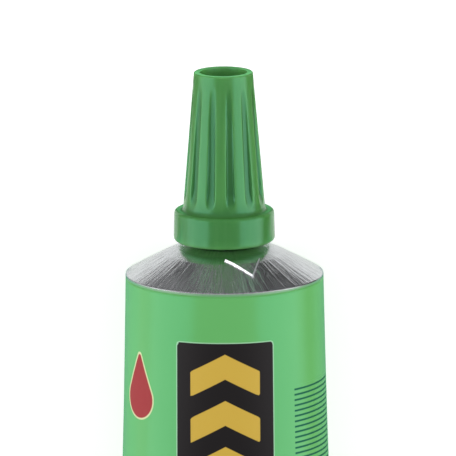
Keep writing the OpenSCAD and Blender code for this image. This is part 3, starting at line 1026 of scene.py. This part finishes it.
dress(cap, polypropylene_finish(), "cap", "green_polypropylene", "cap")

# %% Polyethylene, natural and foamed
MILK_W = 1.5
CELL_W = 0.2


def mottled_finish(name, texture, inputs, tones, strength, depth, **constants):
    """Two tones mixed by a texture, which also lifts the surface by a depth in millimetres."""
    material, tree, shader = new_finish(name, **constants)
    spots = add(tree, texture, {"Vector": add(tree, "TexCoord", out="Object"), **inputs})
    mixed = {"Factor": spots, 6: to_linear(tones[0]), 7: to_linear(tones[1])}
    colour = add(tree, "Mix", mixed, 2, data_type="RGBA")
    relief = add(tree, "Bump", {"Height": spots, "Strength": strength, "Distance": depth * MM})
    fill(tree, shader, {"Base Color": colour, "Normal": relief})
    return material


milky_polyethylene = mottled_finish(
    "polyethylene, natural, injection moulded", "TexNoise", {"Scale": 1 / (MILK_W * MM), "Detail": 2},
    ("E9EBE4", "F3F4EF"), 0.1, 0.02, Roughness=0.38, IOR=1.51,
    Subsurface_Weight=0.6, Subsurface_Radius=(0.9, 0.9, 0.8), Subsurface_Scale=0.0012,
)
foamed_polyethylene = mottled_finish(
    "polyethylene, foamed", "TexVoronoi", {"Scale": 1 / (CELL_W * MM)},
    ("F6F3EA", "DCD8CB"), 0.6, 0.05, Roughness=0.75, IOR=1.5,
)
dress(spout, milky_polyethylene, "tube", "natural_polyethylene", "nozzle")
dress(disc, foamed_polyethylene, "liner", "foam_liner", "cap_liner")

# %% [markdown]
# ## Gel and latex
# The gel is a clear, straw-coloured solvent glue with small bubbles. It stays inside the tube, as does the
# latex band at the fold. Both still get a finish of their own for anyone who cuts the model open.

# %% Gel and latex finishes
BUBBLE_STEP = 3.5
SPRAY_W = 0.6


def gel_finish():
    material, tree, shader = new_finish(
        "solvent glue, gelled", Roughness=0.08, IOR=1.42, Transmission_Weight=0.85
    )
    place = add(tree, "TexCoord", out="Object")
    bubbles = add(tree, "TexVoronoi", {"Vector": place, "Scale": 1 / (BUBBLE_STEP * MM)})
    haze = add(tree, "MapRange", {"Value": bubbles, 2: 0.5})
    tones = {"Factor": haze, 6: to_linear("F1E7C4"), 7: to_linear("E4D49A")}
    fill(tree, shader, {"Base Color": add(tree, "Mix", tones, 2, data_type="RGBA")})
    return material


sprayed_latex = mottled_finish(
    "latex, sprayed", "TexNoise", {"Scale": 1 / (SPRAY_W * MM), "Detail": 3},
    ("CFC08C", "E3D8B2"), 0.4, 0.04, Roughness=0.6, IOR=1.52,
)
dress(gel, gel_finish(), "tube", "gel", "glue_gel")
dress(band, sprayed_latex, "tube", "latex", "seal_band")
print("finishes:", sorted(m.name for m in bpy.data.materials))

# %% [markdown]
# ## Table, light and cards
# The tube is photographed from above on white. Two long soft panels to the left and right give the broad
# sheen on the barrel and the cap. Cards on the table, dark or tinted, are seen only in reflections: without
# them the metal and the cap would mirror white on all sides and look flat.

# %% Table
FLOOR_HALF = 6.0
FLOOR_DROP = 0.0001
FLOOR_GLOW, FLOOR_GLOW_FAR = 0.5, 1.0
GLOW_NEAR, GLOW_WIDE = 0.15, 0.7
MIRROR_SHARE = 0.8


def flat_card(name, corners):
    """A single flat face through corners in metres."""
    mesh = bpy.data.meshes.new(name)
    mesh.from_pydata(corners, [], [tuple(range(len(corners)))])
    face = in_scene(name, mesh)
    return face


def stage_finish(name):
    """A material with nothing but an output."""
    material = bpy.data.materials.new(name)
    material.use_nodes = True
    tree = material.node_tree
    tree.nodes.remove(tree.nodes["Principled BSDF"])
    return material, tree, tree.nodes["Material Output"]


def table_finish():
    """White paper that glows for rays that look at it, so that it is white in the picture and in
    reflections, while its own shading keeps the shadow. The glow is weaker close to the tube."""
    material, tree, output = stage_finish("white paper sweep")
    place = add(tree, "TexCoord", out="Object")
    away = add(tree, "VectorMath", {0: place}, "Value", operation="LENGTH")
    spread = {"Value": away, 1: GLOW_NEAR, 2: GLOW_WIDE, 3: FLOOR_GLOW, 4: FLOOR_GLOW_FAR}
    glow = add(tree, "MapRange", spread)
    ray = add(tree, "LightPath").node.outputs
    mirrored = add(tree, "Math", {0: ray["Is Glossy Ray"], 1: MIRROR_SHARE}, operation="MULTIPLY")
    seen = add(tree, "Math", {0: ray["Is Camera Ray"], 1: mirrored}, operation="MAXIMUM")
    seen = add(tree, "Math", {0: seen, 1: ray["Is Transmission Ray"]}, operation="MAXIMUM")
    strength = add(tree, "Math", {0: seen, 1: glow}, operation="MULTIPLY")
    light = add(tree, "Emission", {"Strength": strength})
    paper = add(tree, "BsdfDiffuse", {"Color": to_linear("E8E8E8")})
    fill(tree, output, {"Surface": add(tree, "AddShader", {0: paper, 1: light})})
    return material


square = ((-1, -1), (1, -1), (1, 1), (-1, 1))
floor = flat_card("table", [(x * FLOOR_HALF, y * FLOOR_HALF, -FLOOR_DROP) for x, y in square])
floor.data.materials.append(table_finish())

# %% Cards, seen only in reflections
CARD_Z = 0.4
CARD_LIFT = 0.1
STRIPE_W = 9.0
NEUTRAL = (1, 1, 1, 1)
TEAL = (0.45, 1, 0.95, 1)
LEAF = (0.33, 1, 0.47, 1)


def card(level, name, corners, near, far=None, reach=(0, 1), tint=NEUTRAL, stripes=0.0):
    """A card just above the table that only reflections see, in millimetres. Its brightness is near all
    over, or goes from near to far between two distances from the tube's middle line, and soft stripes can
    be added to it."""
    face = flat_card(name, [(x * MM, y * MM, (CARD_Z + level * CARD_LIFT) * MM) for x, y in corners])
    material, tree, output = stage_finish(name)
    place = add(tree, "TexCoord", out="Object")
    aside = add(tree, "Math", {0: add(tree, "SeparateXYZ", {0: place}, "X")}, operation="ABSOLUTE")
    fade = {"Value": aside, 1: reach[0] * MM, 2: reach[1] * MM, 3: near, 4: near if far is None else far}
    shade = add(tree, "MapRange", fade)
    turn = add(tree, "Math", {0: aside, 1: 2 * math.pi / (STRIPE_W * MM)}, operation="MULTIPLY")
    wave = add(tree, "Math", {0: turn}, operation="SINE")
    total = add(tree, "Math", {0: wave, 1: stripes, 2: shade}, operation="MULTIPLY_ADD")
    fill(tree, output, {"Surface": add(tree, "Emission", {"Color": tint, "Strength": total})})
    face.data.materials.append(material)
    for ray in ("camera", "diffuse", "shadow", "transmission"):
        setattr(face, "visible_" + ray, False)


def both_sides(corners):
    """Corners on the right, followed by the same on the left in the opposite order."""
    return corners + [(-x, y) for x, y in corners[::-1]]


beyond_right = [(9, 54), (14, 53), (18.5, 48), (33, 41), (55, 60), (55, 105), (24, 140)]
beyond_notch = [(-9, 72), (-4, 82), (4, 82), (9, 72)]
left = [(-13.2, 35), (-13.2, 0), (-19.8, -62), (-45, -62), (-45, 35)]
left_cap = [(-21, 35), (-45, 35), (-45, 54), (-31, 54), (-21, 45)]
right = [(13.2, 35), (13.2, 0), (19.8, -62), (36, -62), (36, 35)]
right_band = [(36, -200), (85, -200), (85, 90), (43, 90), (43, 54), (23, 48), (23, 36), (36, 35)]
under_cap = both_sides([(8, 40), (9.2, 43.5), (10.4, 47), (11, 52), (9, 54), (8, 56)])
cards = [
    ("card_beyond_cap", both_sides(beyond_right) + beyond_notch, dict(near=0.2, stripes=0.12)),
    ("card_left", left, dict(near=0.3, far=1.3, reach=(13, 45), tint=TEAL)),
    ("card_left_cap", left_cap, dict(near=0.32, far=0.8, reach=(21, 45))),
    ("card_right", right, dict(near=0.35, far=0.5, reach=(13, 36), tint=TEAL)),
    ("card_right_band", right_band, dict(near=0.03)),
    ("card_far", both_sides([(24, 140), (3400, 5900)]), dict(near=0.2)),
    ("card_under_cap", under_cap, dict(near=0.8, far=0.2, reach=(7, 8.5), tint=LEAF)),
    ("card_below_rim", both_sides([(9, 62.6), (9, 84)]), dict(near=1.6, tint=LEAF)),
    ("card_beyond_right", beyond_right, dict(near=0.1, stripes=0.08)),
    ("card_end_shade", both_sides([(9, 57), (9, 62.6)]), dict(near=0.15, tint=LEAF)),
]
for level, (name, corners, look) in enumerate(cards):
    card(level, name, corners, **look)
print("cards:", len(cards))

# %% Soft panels
PANEL_TILT = math.radians(70)
PANEL_AWAY = 0.5
PANEL_W, PANEL_L = 0.55, 0.67
PANEL_RADIANCE = 2.05
PANEL_AIM = Vector((0, 0.03, AXIS_Z * MM))
WORLD_GREY = 0.5


def soft_panel(name, side):
    """A rectangular area lamp to one side that faces the tube. Its power is its radiance times its area
    times pi."""
    lamp = bpy.data.lights.new(name, "AREA")
    lamp.shape = "RECTANGLE"
    lamp.size, lamp.size_y = PANEL_W, PANEL_L
    lamp.energy = PANEL_RADIANCE * PANEL_W * PANEL_L * math.pi
    panel = in_scene(name, lamp)
    outwards = Vector((side * math.sin(PANEL_TILT), 0, math.cos(PANEL_TILT)))
    panel.location = PANEL_AIM + PANEL_AWAY * outwards
    panel.rotation_euler = (-outwards).to_track_quat("-Z", "Y").to_euler()


soft_panel("left_panel", -1)
soft_panel("right_panel", 1)

world = bpy.data.worlds.new("studio")
world.use_nodes = True
world.node_tree.nodes["Background"].inputs["Color"].default_value = (WORLD_GREY, WORLD_GREY, WORLD_GREY, 1)
bpy.context.scene.world = world

# %% [markdown]
# ## Camera
# The camera looks down on the tube, leaning a little towards the cap, so that the shoulder opens into an
# ellipse and the hollow of the cap just shows. A long lens keeps the sides of the barrel almost parallel.

# %% Camera
CAMERA_LEAN = math.radians(12.4)
CAMERA_DISTANCE = 0.85
CAMERA_ROLL = math.radians(-0.33)
VIEW_WIDTH = 0.0575
VIEW_X, VIEW_H = 0.47, 5.7

target = Vector((VIEW_X * MM, (SHOULDER_Y + VIEW_H) * MM, AXIS_Z * MM))
lens = bpy.data.cameras.new("camera")
lens.sensor_width = 36
lens.lens = lens.sensor_width * CAMERA_DISTANCE / VIEW_WIDTH
lens.clip_start, lens.clip_end = 0.01, 50
camera = in_scene("camera", lens)
turn = Matrix.Rotation(-CAMERA_LEAN, 3, "X") @ Matrix.Rotation(CAMERA_ROLL, 3, "Z")
camera.matrix_world = Matrix.Translation(target + turn.col[2] * CAMERA_DISTANCE) @ turn.to_4x4()
bpy.context.scene.camera = camera
bpy.context.scene.view_settings.view_transform = "Standard"
print(f"camera with a {lens.lens:.0f} mm lens at {[round(c, 3) for c in camera.location]}")
